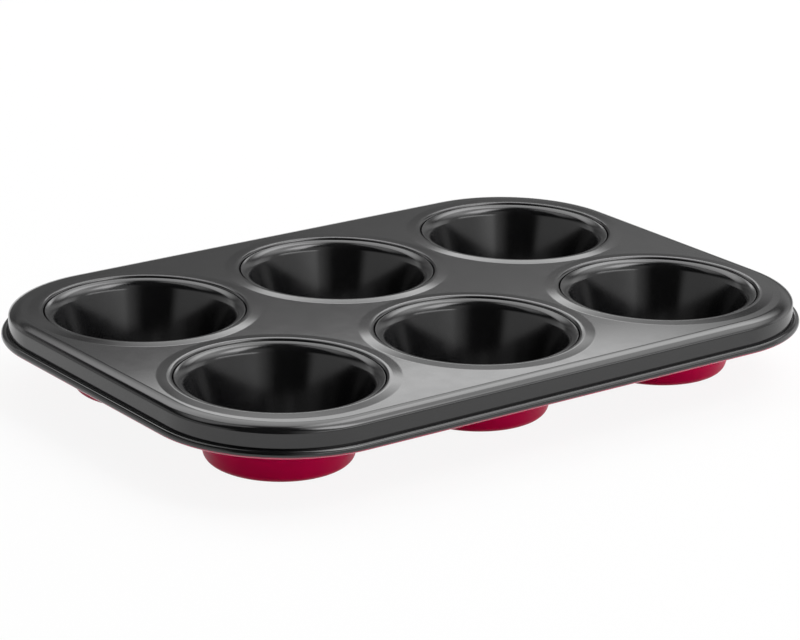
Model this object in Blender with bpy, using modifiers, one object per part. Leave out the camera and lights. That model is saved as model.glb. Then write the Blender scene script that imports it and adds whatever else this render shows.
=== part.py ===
# A muffin pan of thin coated steel: a pressed plate with a rolled rim, a wire
# inside the rim, and six drawn cups hooked into the plate's holes.
#
# Metres, +Z up. The cups stand on z = 0, the long side runs along X, and the
# origin is on the table under the middle of the pan.

import math

import bmesh
import bpy
from mathutils import Vector

# Sheet metal and fits
SHEET = 0.0004            # thickness of the coated sheet
GAP = 0.0003              # clearance between pieces that touch

# Layout of the cups
ROWS = ("front", "back")
COLUMNS = ("left", "middle", "right")
WEB = 0.0042              # flat strip between two neighbouring mouths
END_LAND = 0.0069         # from the end mouths to the ledge of the short sides
SIDE_LAND = 0.0092        # from the mouths to the ledge of the long sides
PLATE_HEIGHT = 0.0286     # top of the plate above the table

# Cups
MOUTH_RADIUS = 0.0352     # folded edge of the plate's hole, seen from above
THROAT_RADIUS = 0.0319    # where the tapered wall meets the shoulder
FOOT_RADIUS = 0.0234      # where the wall meets the flat bottom
FOOT_ROUND = 0.0022
SHOULDER_DROP = 0.0012    # the shoulder's inner edge below the plate
SHOULDER_ROUND = 0.0014
LIP_BEND = 0.0001         # inside radius of the bend at the shoulder's lip
HOOK_GRIP = 0.0009        # overlap of the two tongues in the seam

# Ring round each mouth
RING_TOP = 0.0004         # its top above the plate
RING_CROWN = 0.0012       # flat top of the ring, outside the fold
RING_SLOPE = 0.0016       # run of its outer slope, down to the plate

# Edge of the plate, measured from the line of its ledge
CORNER_RADIUS = 0.0453
CREST_START = 0.0030      # the low crest begins this far inside the ledge line
CREST_INSET = 0.0022
CREST_HEIGHT = 0.00012
STEP_INSET = 0.0013
STEP_DROP = 0.00055
LEDGE_REACH = 0.0003
LEDGE_DROP = 0.00078
LEDGE_ROUND = 0.0009
SKIRT_ROUND = 0.00095     # hollow between the skirt and the top of the rim
RIM_REACH = 0.0029        # outermost point of the rim
RIM_DROP = 0.0098         # underside of the rim below the plate
CURL_TAIL = 0.0003        # straight end of the curl, inside the rim
WIRE_RADIUS = 0.00065

# Fineness of the round shapes
MOUTH_STEPS = 24
CORNER_STEPS = 6
ROUND_STEPS = 2

# Values that follow from those above
HOOK_INNER = SHEET / 2 + GAP
HOOK_OUTER = HOOK_INNER + SHEET
FOLD_CENTRE = MOUTH_RADIUS + HOOK_OUTER
TONGUE_END = FOLD_CENTRE + HOOK_GRIP
RING_FOOT = FOLD_CENTRE + RING_CROWN + RING_SLOPE
PITCH = 2 * RING_FOOT + WEB
HALF_LENGTH = (len(COLUMNS) - 1) * PITCH / 2 + RING_FOOT + END_LAND
HALF_WIDTH = (len(ROWS) - 1) * PITCH / 2 + RING_FOOT + SIDE_LAND
CORE_X = HALF_LENGTH - CORNER_RADIUS
CORE_Y = HALF_WIDTH - CORNER_RADIUS
RIM_RADIUS = WIRE_RADIUS + GAP + SHEET
RIM_CENTRE = RIM_REACH - RIM_RADIUS
RIM_LEVEL = RIM_RADIUS - RIM_DROP
SKIRT_REACH = RIM_CENTRE - SKIRT_ROUND


def clear_scene():
    for item in list(bpy.data.objects):
        bpy.data.objects.remove(item, do_unlink=True)


def make_material(name, colour, roughness, metallic):
    material = bpy.data.materials.new(name)
    material.use_nodes = True
    shader = material.node_tree.nodes["Principled BSDF"]
    shader.inputs["Base Color"].default_value = (*colour, 1.0)
    shader.inputs["Roughness"].default_value = roughness
    shader.inputs["Metallic"].default_value = metallic
    material.diffuse_color = (*colour, 1.0)
    return material


def rounded_path(corners):
    """Points along a line whose corners (x, z, radius, steps) are rounded."""
    path = [Vector(corners[0][:2])]
    for before, corner, after in zip(corners, corners[1:], corners[2:]):
        path += rounded_corner(Vector(before[:2]), corner, Vector(after[:2]))
    path.append(Vector(corners[-1][:2]))
    return [path[0]] + [b for a, b in zip(path, path[1:]) if (b - a).length > SHEET / 100]


def rounded_corner(before, corner, after):
    """Points of the arc that rounds one corner, or the corner itself."""
    point = Vector(corner[:2])
    radius, steps = corner[2:]
    if radius == 0:
        return [point]
    arriving = (point - before).normalized()
    leaving = (after - point).normalized()
    turn = arriving.angle_signed(leaving)
    start = point - arriving * radius * math.tan(abs(turn) / 2)
    side = math.copysign(1, turn)
    normal = Vector((arriving.y, -arriving.x)) * side
    centre = start + normal * radius
    arc = []
    for step in range(steps + 1):
        angle = abs(turn) * step / steps
        arc.append(centre - normal * radius * math.cos(angle) + arriving * radius * math.sin(angle))
    return arc


def mouth_centres():
    """Name and centre of every cup, row by row from the front left."""
    places = {}
    for row, row_name in enumerate(ROWS):
        for column, column_name in enumerate(COLUMNS):
            x = (column - (len(COLUMNS) - 1) / 2) * PITCH
            y = (row - (len(ROWS) - 1) / 2) * PITCH
            places[f"cup_{row_name}_{column_name}"] = Vector((x, y))
    return places


def seam_path():
    """Top side of the plate round a mouth: up, over the fold and back under."""
    return rounded_path([
        (RING_FOOT, 0, 0, 0),
        (FOLD_CENTRE + RING_CROWN, RING_TOP, 0, 0),
        (MOUTH_RADIUS, RING_TOP, HOOK_OUTER, ROUND_STEPS),
        (MOUTH_RADIUS, RING_TOP - 2 * HOOK_OUTER, HOOK_OUTER, ROUND_STEPS),
        (TONGUE_END, RING_TOP - 2 * HOOK_OUTER, 0, 0),
    ])


def edge_path():
    """Top side of the plate's edge: crest, ledge, skirt and rolled rim."""
    outside = RIM_CENTRE + RIM_RADIUS
    inside = RIM_CENTRE - RIM_RADIUS
    rim_top = RIM_LEVEL + RIM_RADIUS
    return rounded_path([
        (-CREST_START, 0, 0, 0),
        (-CREST_INSET, CREST_HEIGHT, 0, 0),
        (-STEP_INSET, -STEP_DROP, 0, 0),
        (LEDGE_REACH, -LEDGE_DROP, LEDGE_ROUND, ROUND_STEPS),
        (SKIRT_REACH, rim_top, SKIRT_ROUND, ROUND_STEPS),
        (outside, rim_top, RIM_RADIUS, ROUND_STEPS),
        (outside, -RIM_DROP, RIM_RADIUS, ROUND_STEPS),
        (inside, -RIM_DROP, RIM_RADIUS, ROUND_STEPS),
        (inside, RIM_LEVEL + CURL_TAIL, 0, 0),
    ])


def cup_path():
    """Inner side of a cup, from the middle of its bottom to its hooked rim."""
    bottom = SHEET - PLATE_HEIGHT
    flange = RING_TOP - 2 * HOOK_OUTER - GAP
    tongue = RING_TOP - 2 * SHEET - GAP
    lip_radius = MOUTH_RADIUS - GAP
    hook_end = TONGUE_END + HOOK_INNER
    return rounded_path([
        (0, bottom, 0, 0),
        (FOOT_RADIUS, bottom, FOOT_ROUND, ROUND_STEPS),
        (THROAT_RADIUS, -SHOULDER_DROP, SHOULDER_ROUND, ROUND_STEPS),
        (lip_radius, 0, LIP_BEND + SHEET, 1),
        (lip_radius, flange, HOOK_INNER, 1),
        (hook_end, flange, HOOK_INNER, ROUND_STEPS),
        (hook_end, tongue, HOOK_INNER, 1),
        (FOLD_CENTRE, tongue, 0, 0),
    ])


def outline(offset):
    """Corner points of the plate's outline, moved out by an offset."""
    points = []
    for quarter in range(4):
        middle = math.radians(45 + 90 * quarter)
        corner_x = math.copysign(CORE_X, math.cos(middle))
        corner_y = math.copysign(CORE_Y, math.sin(middle))
        for step in range(CORNER_STEPS + 1):
            angle = math.radians(90 * (quarter + step / CORNER_STEPS))
            radius = CORNER_RADIUS + offset
            points.append((corner_x + radius * math.cos(angle), corner_y + radius * math.sin(angle)))
    return points


def circle(centre, radius):
    points = []
    for step in range(MOUTH_STEPS):
        angle = 2 * math.pi * step / MOUTH_STEPS
        points.append((centre.x + radius * math.cos(angle), centre.y + radius * math.sin(angle)))
    return points


def add_loop(bm, points):
    """A closed loop of edges in the plate's plane."""
    verts = [bm.verts.new((x, y, 0)) for x, y in points]
    return [bm.edges.new((a, b)) for a, b in zip(verts, verts[1:] + verts[:1])]


def extend_loop(bm, edges, path, centre, half_x, half_y, base_radius):
    """Draw a loop out along a path, square to a core box of half_x by half_y."""
    for offset, height in path[1:]:
        made = bmesh.ops.extrude_edge_only(bm, edges=edges)["geom"]
        edges = [item for item in made if isinstance(item, bmesh.types.BMEdge)]
        for vert in [item for item in made if isinstance(item, bmesh.types.BMVert)]:
            core_x = max(centre.x - half_x, min(centre.x + half_x, vert.co.x))
            core_y = max(centre.y - half_y, min(centre.y + half_y, vert.co.y))
            away = Vector((vert.co.x - core_x, vert.co.y - core_y)).normalized()
            reach = base_radius + offset
            vert.co = (core_x + away.x * reach, core_y + away.y * reach, height)


def plate_mesh():
    """The plate's top side: flat field, folded mouths, skirt and rim."""
    bm = bmesh.new()
    rim = add_loop(bm, outline(-CREST_START))
    centres = mouth_centres().values()
    mouths = [add_loop(bm, circle(centre, RING_FOOT)) for centre in centres]
    bmesh.ops.triangle_fill(bm, edges=bm.edges[:], use_beauty=True)
    extend_loop(bm, rim, edge_path(), Vector((0, 0)), CORE_X, CORE_Y, CORNER_RADIUS)
    for centre, mouth in zip(centres, mouths):
        extend_loop(bm, mouth, seam_path(), centre, 0, 0, 0)
    bmesh.ops.recalc_face_normals(bm, faces=bm.faces[:])
    field = max(bm.faces, key=lambda face: abs(face.normal.z) * face.calc_area())
    if field.normal.z < 0:
        bmesh.ops.reverse_faces(bm, faces=bm.faces[:])
    mesh = bpy.data.meshes.new("plate")
    bm.to_mesh(mesh)
    bm.free()
    mesh.shade_smooth()
    mesh.set_sharp_from_angle(angle=math.radians(50))
    return mesh


def add_sheet(item):
    """Give an open surface the thickness of the sheet, on its lower side."""
    solid = item.modifiers.new("sheet", "SOLIDIFY")
    solid.thickness = SHEET
    solid.offset = -1
    solid.use_even_offset = True
    solid.use_quality_normals = True
    solid.material_offset = 1
    solid.material_offset_rim = 1


def make_plate(collection, materials):
    plate = bpy.data.objects.new("plate", plate_mesh())
    plate.location.z = PLATE_HEIGHT
    for material in materials:
        plate.data.materials.append(material)
    add_sheet(plate)
    collection.objects.link(plate)


def cup_mesh(materials):
    """The profile that a cup is turned from."""
    path = cup_path()
    mesh = bpy.data.meshes.new("cup")
    edges = [(step, step + 1) for step in range(len(path) - 1)]
    mesh.from_pydata([(radius, 0, height) for radius, height in path], edges, [])
    for material in materials:
        mesh.materials.append(material)
    return mesh


def make_cup(name, centre, mesh, collection):
    cup = bpy.data.objects.new(name, mesh)
    cup.location = (centre.x, centre.y, PLATE_HEIGHT)
    turn = cup.modifiers.new("turn", "SCREW")
    turn.steps = MOUTH_STEPS
    turn.render_steps = MOUTH_STEPS
    turn.use_merge_vertices = True
    turn.merge_threshold = 0.00001
    turn.use_smooth_shade = True
    add_sheet(cup)
    collection.objects.link(cup)


def make_wire(collection, material):
    """One loop of wire that the plate's edge is rolled round."""
    curve = bpy.data.curves.new("rim_wire", "CURVE")
    curve.dimensions = "3D"
    curve.bevel_depth = WIRE_RADIUS
    curve.bevel_resolution = 2
    points = outline(RIM_CENTRE)
    spline = curve.splines.new("POLY")
    spline.points.add(len(points) - 1)
    for point, (x, y) in zip(spline.points, points):
        point.co = (x, y, 0, 1)
    spline.use_cyclic_u = True
    spline.use_smooth = True
    curve.materials.append(material)
    wire = bpy.data.objects.new("rim_wire", curve)
    wire.location.z = PLATE_HEIGHT + RIM_LEVEL
    collection.objects.link(wire)


def main():
    clear_scene()
    pan = bpy.data.collections.new("muffin_pan")
    bpy.context.scene.collection.children.link(pan)
    plate_black = make_material("plate_black_coat", (0.012, 0.012, 0.013), 0.34, 0.0)
    cup_black = make_material("cup_black_coat", (0.010, 0.010, 0.011), 0.30, 0.0)
    crimson = make_material("crimson_coat", (0.36, 0.004, 0.045), 0.42, 0.0)
    steel = make_material("wire_steel", (0.55, 0.55, 0.56), 0.35, 1.0)
    make_plate(pan, (plate_black, crimson))
    mesh = cup_mesh((cup_black, crimson))
    for name, centre in mouth_centres().items():
        make_cup(name, centre, mesh, pan)
    make_wire(pan, steel)


main()
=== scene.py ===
"""Looks of a six-cup muffin pan: black non-stick coat above, crimson coat below.

Every piece is a fine mesh in the place of its CAD node, in metres and in the CAD's own frame.
"""

import math

import bmesh
import bpy
from mathutils import Matrix, Vector


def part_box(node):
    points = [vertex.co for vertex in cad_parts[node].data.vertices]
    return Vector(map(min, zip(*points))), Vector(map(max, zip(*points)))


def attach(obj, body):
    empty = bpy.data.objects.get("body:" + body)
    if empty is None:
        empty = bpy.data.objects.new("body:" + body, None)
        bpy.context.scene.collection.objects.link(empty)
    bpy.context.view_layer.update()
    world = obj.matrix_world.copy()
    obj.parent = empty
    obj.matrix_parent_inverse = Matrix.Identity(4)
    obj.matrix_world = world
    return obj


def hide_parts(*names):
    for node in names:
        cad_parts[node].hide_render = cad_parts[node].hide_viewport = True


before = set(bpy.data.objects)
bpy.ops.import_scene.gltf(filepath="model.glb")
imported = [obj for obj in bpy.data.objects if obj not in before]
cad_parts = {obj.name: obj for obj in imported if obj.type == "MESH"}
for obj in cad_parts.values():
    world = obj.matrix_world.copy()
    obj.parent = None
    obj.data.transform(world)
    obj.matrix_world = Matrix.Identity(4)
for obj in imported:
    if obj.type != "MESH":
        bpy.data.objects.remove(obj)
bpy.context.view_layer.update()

MM = 0.001
CUPS = [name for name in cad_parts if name.startswith("cup_")]

# Levels and reaches, from the frame
PLATE_LOW, PLATE_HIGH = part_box("plate")
CUP_LOW, CUP_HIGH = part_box(CUPS[0])
WIRE_LOW, WIRE_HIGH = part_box("rim_wire")
CUP_REACH = (CUP_HIGH.x - CUP_LOW.x) / 2
WIRE_RADIUS = (WIRE_HIGH.z - WIRE_LOW.z) / 2

# Sheet metal
SHEET = 0.40 * MM
GAP = 0.30 * MM               # clearance in the seams and round the wire
GUARD = 0.4 * MM              # flat strip between the field and a rounding

# Ring round each mouth, and the fold that holds the cup
RING_TOP = 0.32 * MM          # above the field
PLATE_TOP = PLATE_HIGH.z - RING_TOP  # level of the field, from which the paths below are measured
RING_FOOT = 40.5 * MM
RING_FOOT_ROUND = 6.5 * MM
CROWN_RADIUS = 37.0 * MM
CROWN_ROUND = 4.0 * MM
CROWN_DROP = 0.08 * MM        # from the ring's crown down to the fold
MOUTH_RADIUS = 35.2 * MM
FOLD_ROUND = 1.0 * MM
NOSE_RADIUS = 0.90 * MM       # half the height of the fold
TONGUE_ROUND = NOSE_RADIUS / 2
FOLD_CENTRE = MOUTH_RADIUS + NOSE_RADIUS
TONGUE_END = FOLD_CENTRE + 0.9 * MM

# Cups
FOOT_RADIUS = 24.4 * MM
FOOT_ROUND = 3.0 * MM
THROAT_RADIUS = 31.7 * MM
SHOULDER_DROP = 1.2 * MM
SHOULDER_ROUND = 4.2 * MM
LIP_RADIUS = MOUTH_RADIUS - GAP
LIP_DROP = 0.25 * MM
LIP_ROUND = 0.3 * MM
HOOK_ROUND = 0.5 * MM

# Edge of the plate, its reaches measured out from a line just inside the skirt
EDGE_HALF_X = 127.8 * MM
EDGE_HALF_Y = 89.1 * MM
CORNER_RADIUS = 45.3 * MM
EDGE_START = 4.8 * MM
EDGE_BENDS = (                # reach, drop and rounding in mm, from the field down to the skirt
    (-4.0, 0.0, 4.0),
    (-2.3, 0.33, 6.0),
    (-0.75, 1.02, 4.2),
    (0.33, 2.0, 1.6),
)
SKIRT_REACH = 0.45 * MM
GROOVE_ANGLE = math.radians(45)
GROOVE_ROUND = 0.08 * MM
RIM_SAG = 0.35 * MM           # the rim seen here hangs this much below the solid one
RIM_BOTTOM = PLATE_LOW.z - RIM_SAG
RIM_RADIUS = WIRE_RADIUS + GAP + SHEET
RIM_CENTRE = PLATE_HIGH.x - EDGE_HALF_X - RIM_RADIUS
RIM_LEVEL = RIM_BOTTOM + RIM_RADIUS - PLATE_TOP
CURL_TAIL = 0.3 * MM

# Fineness of the meshes
MOUTH_STEPS = 144
CORNER_STEPS = 28
ARC_STEP = math.radians(9)
WIRE_STEPS = 4
CLOSEST = SHEET / 100         # a point nearer than this to the last one is left out
SHARP_ANGLE = math.radians(40)


def rounded_path(corners):
    """Points along a line whose corners (x, z, radius) are rounded."""
    path = [Vector(corners[0][:2])]
    for before, corner, after in zip(corners, corners[1:], corners[2:]):
        path += rounded_corner(Vector(before[:2]), Vector(corner[:2]), Vector(after[:2]), corner[2])
    path.append(Vector(corners[-1][:2]))
    kept = [path[0]]
    for last, place in zip(path, path[1:]):
        if (place - last).length > CLOSEST:
            kept.append(place)
    return kept


def rounded_corner(before, point, after, radius):
    """Points of the arc that rounds one corner, or the corner itself."""
    if radius == 0:
        return [point]
    arriving = (point - before).normalized()
    leaving = (after - point).normalized()
    turn = arriving.angle_signed(leaving)
    start = point - arriving * radius * math.tan(abs(turn) / 2)
    normal = Vector((arriving.y, -arriving.x)) * math.copysign(1, turn)
    centre = start + normal * radius
    steps = max(2, math.ceil(abs(turn) / ARC_STEP))
    arc = []
    for step in range(steps + 1):
        angle = abs(turn) * step / steps
        arc.append(centre - normal * radius * math.cos(angle) + arriving * radius * math.sin(angle))
    return arc


def seam_path():
    """Top side of the plate round a mouth, from the field to the folded tongue."""
    under = RING_TOP - 2 * NOSE_RADIUS
    return rounded_path([
        (RING_FOOT + GUARD, 0, 0),
        (RING_FOOT, 0, RING_FOOT_ROUND),
        (CROWN_RADIUS, RING_TOP, CROWN_ROUND),
        (MOUTH_RADIUS, RING_TOP - CROWN_DROP, FOLD_ROUND),
        (MOUTH_RADIUS, under, TONGUE_ROUND),
        (TONGUE_END, under, 0),
    ])


def edge_path():
    """Top side of the plate's edge: soft bends, skirt, groove and rolled rim."""
    outside = RIM_CENTRE + RIM_RADIUS
    inside = RIM_CENTRE - RIM_RADIUS
    top = RIM_LEVEL + RIM_RADIUS
    bottom = RIM_LEVEL - RIM_RADIUS
    roll_start = RIM_CENTRE - RIM_RADIUS * math.tan(GROOVE_ANGLE / 2)
    groove = top - (roll_start - SKIRT_REACH) * math.tan(GROOVE_ANGLE)
    bends = [(reach * MM, -drop * MM, radius * MM) for reach, drop, radius in EDGE_BENDS]
    return rounded_path([
        (-EDGE_START, 0, 0),
        (-EDGE_START + GUARD, 0, 0),
        *bends,
        (SKIRT_REACH, groove, GROOVE_ROUND),
        (roll_start, top, RIM_RADIUS),
        (outside, top, RIM_RADIUS),
        (outside, bottom, RIM_RADIUS),
        (inside, bottom, RIM_RADIUS),
        (inside, RIM_LEVEL + CURL_TAIL, 0),
    ])


def cup_path():
    """Inner side of a cup, from its bottom to its hooked rim."""
    bottom = SHEET - PLATE_TOP
    flange = RING_TOP - 2 * NOSE_RADIUS - GAP
    hook_end = CUP_REACH - SHEET
    tongue = flange + 2 * HOOK_ROUND
    return rounded_path([
        (0, bottom, 0),
        (FOOT_RADIUS, bottom, FOOT_ROUND),
        (THROAT_RADIUS, -SHOULDER_DROP, SHOULDER_ROUND),
        (LIP_RADIUS, -LIP_DROP, LIP_ROUND),
        (LIP_RADIUS, flange, HOOK_ROUND),
        (hook_end, flange, HOOK_ROUND),
        (hook_end, tongue, HOOK_ROUND),
        (FOLD_CENTRE, tongue, 0),
    ])


def point_round(x, y, radius, angle, height):
    """The point at an angle on a level circle round x and y."""
    return (x + radius * math.cos(angle), y + radius * math.sin(angle), height)


def circle_points(centre, radius, height):
    """A circle round a cup's middle."""
    points = []
    for step in range(MOUTH_STEPS):
        angle = 2 * math.pi * step / MOUTH_STEPS
        points.append(point_round(centre.x, centre.y, radius, angle, height))
    return points


def outline_points(reach, height):
    """The plate's outline, moved out by a reach."""
    core_x = EDGE_HALF_X - CORNER_RADIUS
    core_y = EDGE_HALF_Y - CORNER_RADIUS
    radius = CORNER_RADIUS + reach
    points = []
    for quarter in range(4):
        middle = math.radians(45 + 90 * quarter)
        corner_x = math.copysign(core_x, math.cos(middle))
        corner_y = math.copysign(core_y, math.sin(middle))
        for step in range(CORNER_STEPS + 1):
            angle = math.radians(90 * (quarter + step / CORNER_STEPS))
            points.append(point_round(corner_x, corner_y, radius, angle, height))
    return points


def add_ring(bm, points):
    """New vertices at a list of points."""
    return [bm.verts.new(point) for point in points]


def join_rings(bm, ring, other):
    """A closed band of faces between two rings of vertices."""
    for index in range(len(ring)):
        following = (index + 1) % len(ring)
        bm.faces.new((ring[index], ring[following], other[following], other[index]))


def draw_out(bm, ring, rings):
    """Skin from a ring of vertices through a list of rings of points."""
    for points in rings:
        other = add_ring(bm, points)
        join_rings(bm, ring, other)
        ring = other


def link(item):
    """Puts an object into the scene."""
    bpy.context.scene.collection.objects.link(item)


def thick_object(name, bm, materials):
    """An object whose sheet lies below the surface; the second material is for its lower side."""
    bmesh.ops.recalc_face_normals(bm, faces=bm.faces[:])
    widest = max(bm.faces, key=lambda face: abs(face.normal.z) * face.calc_area())
    if widest.normal.z < 0:
        bmesh.ops.reverse_faces(bm, faces=bm.faces[:])
    surface = bpy.data.meshes.new(name + "_surface")
    bm.to_mesh(surface)
    bm.free()
    for material in materials:
        surface.materials.append(material)
    item = bpy.data.objects.new(name, surface)
    link(item)
    solid = item.modifiers.new("sheet", "SOLIDIFY")
    solid.thickness = SHEET
    solid.offset = -1
    solid.use_even_offset = True
    solid.use_quality_normals = True
    solid.material_offset = 1
    solid.material_offset_rim = 1
    evaluated = item.evaluated_get(bpy.context.evaluated_depsgraph_get())
    item.data = bpy.data.meshes.new_from_object(evaluated)
    item.modifiers.clear()
    bpy.data.meshes.remove(surface)
    item.data.shade_smooth()
    item.data.set_sharp_from_angle(angle=SHARP_ANGLE)
    return item


def cup_centres():
    """Middle of each cup, from its node's box."""
    centres = {}
    for name in CUPS:
        low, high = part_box(name)
        centres[name] = Vector(((low.x + high.x) / 2, (low.y + high.y) / 2))
    return centres


def make_plate(materials):
    """The flat field with its six holes, then the edge and the seams drawn out from it."""
    bm = bmesh.new()
    edge = edge_path()
    seam = seam_path()
    border = add_ring(bm, outline_points(edge[0].x, PLATE_TOP + edge[0].y))
    mouths = []
    for centre in cup_centres().values():
        mouth = add_ring(bm, circle_points(centre, seam[0].x, PLATE_TOP + seam[0].y))
        mouths.append((centre, mouth))
    for ring in [border] + [mouth for centre, mouth in mouths]:
        for vert, following in zip(ring, ring[1:] + ring[:1]):
            bm.edges.new((vert, following))
    bmesh.ops.triangle_fill(bm, edges=bm.edges[:], use_beauty=True)
    draw_out(bm, border, [outline_points(x, PLATE_TOP + z) for x, z in edge[1:]])
    for centre, mouth in mouths:
        draw_out(bm, mouth, [circle_points(centre, x, PLATE_TOP + z) for x, z in seam[1:]])
    return thick_object("plate_sheet", bm, materials)


def make_cup(name, centre, materials):
    """A cup from its bottom's middle out to the hook."""
    bm = bmesh.new()
    path = cup_path()
    middle = bm.verts.new((centre.x, centre.y, PLATE_TOP + path[0].y))
    first = add_ring(bm, circle_points(centre, path[1].x, PLATE_TOP + path[1].y))
    for vert, following in zip(first, first[1:] + first[:1]):
        bm.faces.new((middle, vert, following))
    draw_out(bm, first, [circle_points(centre, x, PLATE_TOP + z) for x, z in path[2:]])
    return thick_object(name + "_shell", bm, materials)


def make_wire(material):
    """The wire inside the rolled rim."""
    curve = bpy.data.curves.new("wire", "CURVE")
    curve.dimensions = "3D"
    curve.bevel_depth = WIRE_RADIUS
    curve.bevel_resolution = WIRE_STEPS
    points = outline_points(RIM_CENTRE, PLATE_TOP + RIM_LEVEL)
    spline = curve.splines.new("POLY")
    spline.points.add(len(points) - 1)
    for point, place in zip(spline.points, points):
        point.co = (*place, 1)
    spline.use_cyclic_u = True
    curve.materials.append(material)
    guide = bpy.data.objects.new("wire_guide", curve)
    link(guide)
    evaluated = guide.evaluated_get(bpy.context.evaluated_depsgraph_get())
    wire = bpy.data.objects.new("wire_loop", bpy.data.meshes.new_from_object(evaluated))
    bpy.data.objects.remove(guide)
    link(wire)
    wire.data.shade_smooth()
    return wire


# Places of the Mix node's two colours and of its result
MIX_FIRST = 6
MIX_SECOND = 7
MIX_RESULT = 2


class Nodes:
    """Short calls for building a node tree."""

    def __init__(self, tree):
        self.tree = tree
        tree.nodes.clear()

    def add(self, kind, settings=None, *values, **inputs):
        """A node with its settings, and its inputs by their order or by their names."""
        node = self.tree.nodes.new(kind)
        for key, value in (settings or {}).items():
            setattr(node, key, value)
        for index, value in enumerate(values):
            self.set(node, index, value)
        for key, value in inputs.items():
            self.set(node, key.replace("_", " "), value)
        return node

    def set(self, node, key, value):
        """Links an input to a socket, or gives it a plain value."""
        socket = node.inputs[key]
        if isinstance(value, bpy.types.NodeSocket):
            self.tree.links.new(value, socket)
        else:
            socket.default_value = value

    def place(self):
        """Place on the object, in its own frame."""
        return self.add("ShaderNodeTexCoord").outputs["Object"]

    def along(self, vector, axis):
        return self.add("ShaderNodeSeparateXYZ", Vector=vector).outputs[axis]

    def math(self, operation, *values):
        return self.add("ShaderNodeMath", {"operation": operation}, *values).outputs[0]

    def vector_math(self, operation, *values):
        return self.add("ShaderNodeVectorMath", {"operation": operation}, *values).outputs["Vector"]

    def dot(self, first, second):
        node = self.add("ShaderNodeVectorMath", {"operation": "DOT_PRODUCT"}, first, second)
        return node.outputs["Value"]

    def ramp(self, value, low, high, start=0.0, end=1.0):
        """Smooth change from start to end while a value goes from low to high."""
        node = self.add("ShaderNodeMapRange", {"interpolation_type": "SMOOTHSTEP"}, Value=value)
        self.set(node, "From Min", low)
        self.set(node, "From Max", high)
        self.set(node, "To Min", start)
        self.set(node, "To Max", end)
        return node.outputs["Result"]

    def noise(self, vector, size, detail, roughness=0.5):
        """Noise whose lumps are about one size across, in metres."""
        node = self.add("ShaderNodeTexNoise", Vector=vector, Scale=1 / size)
        self.set(node, "Detail", detail)
        self.set(node, "Roughness", roughness)
        return node.outputs["Fac"]

    def mix_colour(self, share, first, second):
        node = self.add("ShaderNodeMix", {"data_type": "RGBA"}, share)
        self.set(node, MIX_FIRST, first)
        self.set(node, MIX_SECOND, second)
        return node.outputs[MIX_RESULT]

    def bump(self, height, depth, normal=None):
        """Bump whose full height is a depth in metres."""
        node = self.add("ShaderNodeBump", Height=height, Distance=depth)
        if normal is not None:
            self.set(node, "Normal", normal)
        return node.outputs["Normal"]

    def surface(self, shader, output="ShaderNodeOutputMaterial"):
        self.add(output, Surface=shader)


def new_material(name):
    """A material and its empty node tree."""
    material = bpy.data.materials.new(name)
    material.use_nodes = True
    return material, Nodes(material.node_tree)


# Black coat
BLACK_LIGHT = (0.0085, 0.0085, 0.0090, 1)
BLACK_DARK = (0.0045, 0.0045, 0.0048, 1)
BLACK_IOR = 1.60
PLATE_ROUGHNESS = (0.095, 0.115)
CUP_ROUGHNESS = (0.13, 0.16)
BLACK_PATCH = 7 * MM          # patches of a little more colour and gloss
BLACK_PEEL_DEPTH = 0.0010 * MM
WAVE_SIZE = 34 * MM           # slow unevenness of the pressed sheet
WAVE_DETAIL = 1
WAVE_DEPTH = 0.020 * MM
PLATE_BOW = 0.23              # fall for the square of the way from the long middle line, in metres

# Crimson coat, and the strip above the rim's bottom where it gives way to the black one
CRIMSON_LIGHT = (0.64, 0.0032, 0.082, 1)
CRIMSON_DARK = (0.56, 0.0028, 0.072, 1)
CRIMSON_GLOSS = (1.0, 0.05, 0.16, 1)
CRIMSON_SHINE = 0.08
CRIMSON_ROUGHNESS = (0.36, 0.46)
CRIMSON_PATCH = 9 * MM
CRIMSON_PEEL_DEPTH = 0.003 * MM
OVERSPRAY_LOW = 0.25 * MM
OVERSPRAY_HIGH = 1.15 * MM
OVERSPRAY_WOBBLE = 0.15 * MM  # the strip wanders this far up and down

# Both coats
PATCH_DETAIL = 4
PATCH_ROUGHNESS = 0.6
PEEL_SIZE = 0.9 * MM          # lumps of the sprayed coat
PEEL_DETAIL = 3

# Steel of the wire
STEEL_LIGHT = (0.60, 0.60, 0.61, 1)
STEEL_DARK = (0.36, 0.36, 0.37, 1)
STEEL_ROUGHNESS = (0.28, 0.45)
MARK_SIZE = 0.4 * MM
MARK_DETAIL = 4
MARK_DEPTH = 0.004 * MM

NOISE_SPAN = (0.3, 0.7)       # holds most of a noise's values


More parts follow.
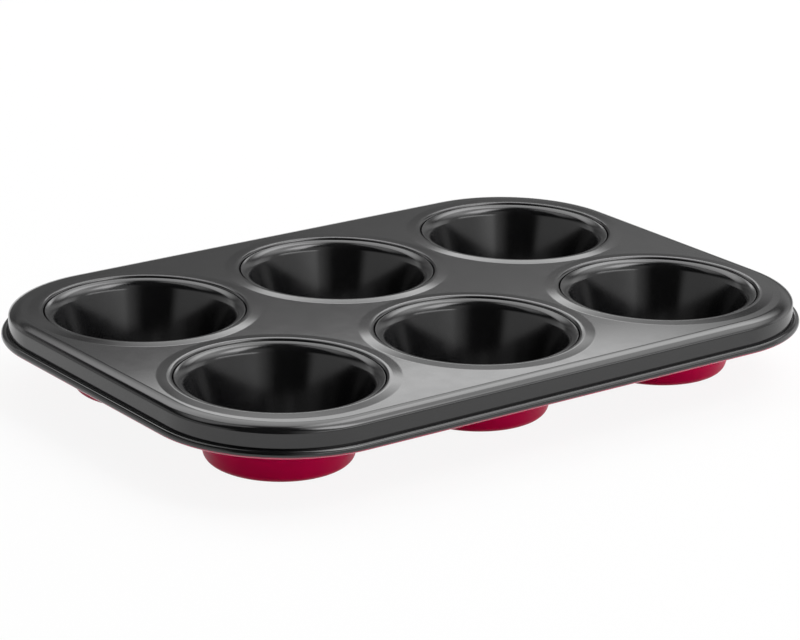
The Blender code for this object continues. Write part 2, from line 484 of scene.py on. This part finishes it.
def black_coat(name, roughness, overspray, bow):
    """Sprayed non-stick coat; overspray is the height range where the crimson coat takes over."""
    material, nodes = new_material(name)
    place = nodes.place()
    fine = nodes.noise(place, PEEL_SIZE, PEEL_DETAIL)
    slow = nodes.noise(place, WAVE_SIZE, WAVE_DETAIL)
    patch = nodes.noise(place, BLACK_PATCH, PATCH_DETAIL, PATCH_ROUGHNESS)
    colour = nodes.mix_colour(patch, BLACK_DARK, BLACK_LIGHT)
    if overspray:
        low, high = overspray
        wobble = nodes.math("MULTIPLY_ADD", patch, 2 * OVERSPRAY_WOBBLE, -OVERSPRAY_WOBBLE)
        height = nodes.math("ADD", nodes.along(place, "Z"), wobble)
        share = nodes.ramp(height, low, high, 1.0, 0.0)
        colour = nodes.mix_colour(share, colour, CRIMSON_DARK)
    normal = nodes.bump(slow, WAVE_DEPTH)
    if bow:
        across = nodes.along(place, "Y")
        fall = nodes.math("MULTIPLY", nodes.math("MULTIPLY", across, across), -bow)
        normal = nodes.bump(fall, 1.0, normal)
    shader = nodes.add(
        "ShaderNodeBsdfPrincipled",
        Base_Color=colour,
        Roughness=nodes.ramp(patch, *NOISE_SPAN, *roughness),
        IOR=BLACK_IOR,
        Normal=nodes.bump(fine, BLACK_PEEL_DEPTH, normal),
    )
    nodes.surface(shader.outputs[0])
    return material


def crimson_coat(name):
    """Satin crimson coat of the underside."""
    material, nodes = new_material(name)
    place = nodes.place()
    patch = nodes.noise(place, CRIMSON_PATCH, PATCH_DETAIL, PATCH_ROUGHNESS)
    fine = nodes.noise(place, PEEL_SIZE, PEEL_DETAIL)
    shader = nodes.add(
        "ShaderNodeBsdfPrincipled",
        Base_Color=nodes.mix_colour(patch, CRIMSON_DARK, CRIMSON_LIGHT),
        Roughness=nodes.ramp(patch, *NOISE_SPAN, *CRIMSON_ROUGHNESS),
        Specular_IOR_Level=CRIMSON_SHINE,
        Specular_Tint=CRIMSON_GLOSS,
        Normal=nodes.bump(fine, CRIMSON_PEEL_DEPTH),
    )
    nodes.surface(shader.outputs[0])
    return material


def drawn_steel(name):
    """Bare drawn wire with fine marks."""
    material, nodes = new_material(name)
    marks = nodes.noise(nodes.place(), MARK_SIZE, MARK_DETAIL)
    shader = nodes.add(
        "ShaderNodeBsdfPrincipled",
        Base_Color=nodes.mix_colour(marks, STEEL_DARK, STEEL_LIGHT),
        Metallic=1.0,
        Roughness=nodes.ramp(marks, *NOISE_SPAN, *STEEL_ROUGHNESS),
        Normal=nodes.bump(marks, MARK_DEPTH),
    )
    nodes.surface(shader.outputs[0])
    return material


def make_pan():
    """Every piece, on its body, in its node's place and with its slot."""
    overspray = (RIM_BOTTOM + OVERSPRAY_LOW, RIM_BOTTOM + OVERSPRAY_HIGH)
    crimson = crimson_coat("underside_crimson")
    plate_black = black_coat("plate_black", PLATE_ROUGHNESS, overspray, PLATE_BOW)
    plate = make_plate((plate_black, crimson))
    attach(plate, "root")
    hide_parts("plate")
    cup_black = black_coat("cup_black", CUP_ROUGHNESS, None, 0)
    for name, centre in cup_centres().items():
        cup = make_cup(name, centre, (cup_black, crimson))
        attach(cup, "root")
        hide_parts(name)
    wire = make_wire(drawn_steel("wire_steel"))
    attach(wire, "root")
    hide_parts("rim_wire")


def sine(degrees):
    return math.sin(math.radians(degrees))


def cosine(degrees):
    return math.cos(math.radians(degrees))


def compass(degrees):
    """Level direction at an angle from +Y towards +X."""
    return (sine(degrees), cosine(degrees), 0.0)


def edge_normal(azimuth, elevation):
    """Square to a straight edge whose highest point is in this direction."""
    x, y, level = compass(azimuth)
    return (-x * sine(elevation), -y * sine(elevation), cosine(elevation))


class Panel:
    """A soft light of the tent, in degrees: its compass direction, half its width and its low and
    high ends, each end and side softened by an angle both ways. One with a lean has a straight low
    edge, which is highest in the direction of the lean.
    """

    def __init__(self, middle, half, side_soft, low, low_soft, high, high_soft, strength, lean=None):
        self.middle = middle
        self.half = half
        self.side_soft = side_soft
        self.low = low
        self.low_soft = low_soft
        self.high = high
        self.high_soft = high_soft
        self.strength = strength
        self.lean = lean

    def share(self, nodes, unit, level, rise):
        """1 inside the panel, falling to 0 across its soft edges."""
        outer = cosine(self.half + self.side_soft)
        inner = cosine(self.half - self.side_soft)
        between = nodes.ramp(nodes.dot(level, compass(self.middle)), outer, inner)
        climb = rise
        low = self.low
        if self.lean is not None:
            climb = nodes.dot(unit, edge_normal(self.lean, self.low))
            low = 0.0
        above = nodes.ramp(climb, sine(low - self.low_soft), sine(low + self.low_soft))
        end = sine(self.high - self.high_soft)
        below = nodes.ramp(rise, end, sine(self.high + self.high_soft), 1.0, 0.0)
        return nodes.math("MULTIPLY", nodes.math("MULTIPLY", between, above), below)


# Light: a tent round the pan, its brightness given by direction
TENT_RADIUS = 3.0
TENT_STEPS = (64, 32)
PANELS = (
    Panel(34, 42, 4, 34, 9, 72, 9, 2.45),                # back right, high
    Panel(106, 53, 3, 39, 12, 81, 3, 1.95),              # right, high
    Panel(141, 17, 12, 49, 5, 74, 4.5, 4.0),             # front right, high and small
    Panel(38, 8, 3, 22.5, 1.2, 28, 4.4, 2.65),           # back right, low and narrow
    Panel(48, 65, 3, 20.2, 7.6, 24, 5, 0.53, lean=3),    # back right, a low band
    Panel(160, 28, 4, 20.6, 7.2, 25, 3, 4.4),            # front, a low band
    Panel(141, 58, 14, -5, 5.5, 59, 14, 0.68),           # front right, wide and dim
    Panel(305, 51, 7, -12, 2, 30, 8, 0.58),              # back left, low and dim
    Panel(323, 22, 3, 49, 9, 80, 3, 1.2),                # back left, high
    Panel(30, 60, 10, -10, 3, 16, 4, 0.16),              # back right, faint along the floor
)
LOW_LIGHT = 0.02              # of the tent between the panels


def tent_material():
    """Glow of the tent: the sum of its panels."""
    material, nodes = new_material("tent")
    unit = nodes.vector_math("NORMALIZE", nodes.place())
    rise = nodes.along(unit, "Z")
    flat = nodes.vector_math("MULTIPLY", unit, (1, 1, 0))
    level = nodes.vector_math("NORMALIZE", flat)
    total = LOW_LIGHT
    for panel in PANELS:
        light = nodes.math("MULTIPLY", panel.share(nodes, unit, level, rise), panel.strength)
        total = nodes.math("ADD", light, total)
    nodes.surface(nodes.add("ShaderNodeEmission", Strength=total).outputs[0])
    return material


# Floor
FLOOR_COLOUR = (0.85, 0.85, 0.85, 1)
FLOOR_GLOW = 0.90             # share of plain white in what the camera sees of the floor
FLOOR_DROP = 0.02 * MM        # keeps the floor just clear of the cups
FLOOR_STEPS = 96


def white_rays(nodes):
    """1 for a ray that shows the white background: seen straight, mirrored or through glass."""
    rays = nodes.add("ShaderNodeLightPath").outputs
    mirrored = nodes.math("MAXIMUM", rays["Is Glossy Ray"], rays["Is Transmission Ray"])
    return nodes.math("MAXIMUM", rays["Is Camera Ray"], mirrored)


def floor_material():
    """Pale floor that keeps the pan's shadow and looks almost white."""
    material, nodes = new_material("floor")
    diffuse = nodes.add("ShaderNodeBsdfDiffuse", Color=FLOOR_COLOUR).outputs[0]
    glow = nodes.add("ShaderNodeEmission", Strength=1.0).outputs[0]
    share = nodes.math("MULTIPLY", white_rays(nodes), FLOOR_GLOW)
    nodes.surface(nodes.add("ShaderNodeMixShader", None, share, diffuse, glow).outputs[0])
    return material


def stage_object(name, bm, material):
    """An object of the stage from its mesh and material, which share its name."""
    mesh = bpy.data.meshes.new(name)
    bm.to_mesh(mesh)
    bm.free()
    mesh.materials.append(material)
    item = bpy.data.objects.new(name, mesh)
    link(item)
    return item


def make_stage():
    """Floor, tent and white world."""
    bm = bmesh.new()
    bmesh.ops.create_circle(bm, cap_ends=True, segments=FLOOR_STEPS, radius=TENT_RADIUS)
    floor = stage_object("floor", bm, floor_material())
    floor.location.z = -FLOOR_DROP
    bm = bmesh.new()
    around, upward = TENT_STEPS
    bmesh.ops.create_uvsphere(bm, u_segments=around, v_segments=upward, radius=TENT_RADIUS)
    tent = stage_object("tent", bm, tent_material())
    tent.visible_camera = False
    world = bpy.data.worlds.new("white")
    world.use_nodes = True
    nodes = Nodes(world.node_tree)
    background = nodes.add("ShaderNodeBackground", Color=(1, 1, 1, 1), Strength=white_rays(nodes))
    nodes.surface(background.outputs[0], "ShaderNodeOutputWorld")
    bpy.context.scene.world = world


# Camera, solved from the photograph: the scale brings the size found there to the model's size
FIT_SCALE = 1.007
CAMERA_AZIMUTH = -36.13
CAMERA_ELEVATION = 18.752
CAMERA_ROLL = 0.819
CAMERA_DISTANCE = 1.10867 * FIT_SCALE
CAMERA_AIM = (-25.58 * MM * FIT_SCALE, -1.31 * MM * FIT_SCALE)
CLIP_START = 0.01
CLIP_END = 20
FOCAL_PIXELS = 3216.5
MIDDLE_PIXEL = (347.8, 311.9)
IMAGE_SIZE = (800, 640)
SENSOR = 36.0


def make_camera():
    """The photograph's camera, looking at a point of the plate's field."""
    back = Vector((
        sine(CAMERA_AZIMUTH) * cosine(CAMERA_ELEVATION),
        -cosine(CAMERA_AZIMUTH) * cosine(CAMERA_ELEVATION),
        sine(CAMERA_ELEVATION),
    ))
    right = (-back).cross(Vector((0, 0, 1))).normalized()
    up = right.cross(-back)
    side = right * cosine(CAMERA_ROLL) + up * sine(CAMERA_ROLL)
    above = up * cosine(CAMERA_ROLL) - right * sine(CAMERA_ROLL)
    aim = Vector((*CAMERA_AIM, PLATE_TOP))
    place = Matrix.Translation(aim + back * CAMERA_DISTANCE)
    turn = Matrix((side, above, back)).transposed().to_4x4()
    data = bpy.data.cameras.new("camera")
    data.sensor_width = SENSOR
    data.lens = FOCAL_PIXELS / IMAGE_SIZE[0] * SENSOR
    data.shift_x = (IMAGE_SIZE[0] / 2 - MIDDLE_PIXEL[0]) / IMAGE_SIZE[0]
    data.shift_y = (MIDDLE_PIXEL[1] - IMAGE_SIZE[1] / 2) / IMAGE_SIZE[0]
    data.clip_start = CLIP_START
    data.clip_end = CLIP_END
    camera = bpy.data.objects.new("camera", data)
    camera.matrix_world = place @ turn
    link(camera)
    bpy.context.scene.camera = camera


make_pan()
make_stage()
make_camera()
bpy.context.scene.view_settings.view_transform = "Standard"
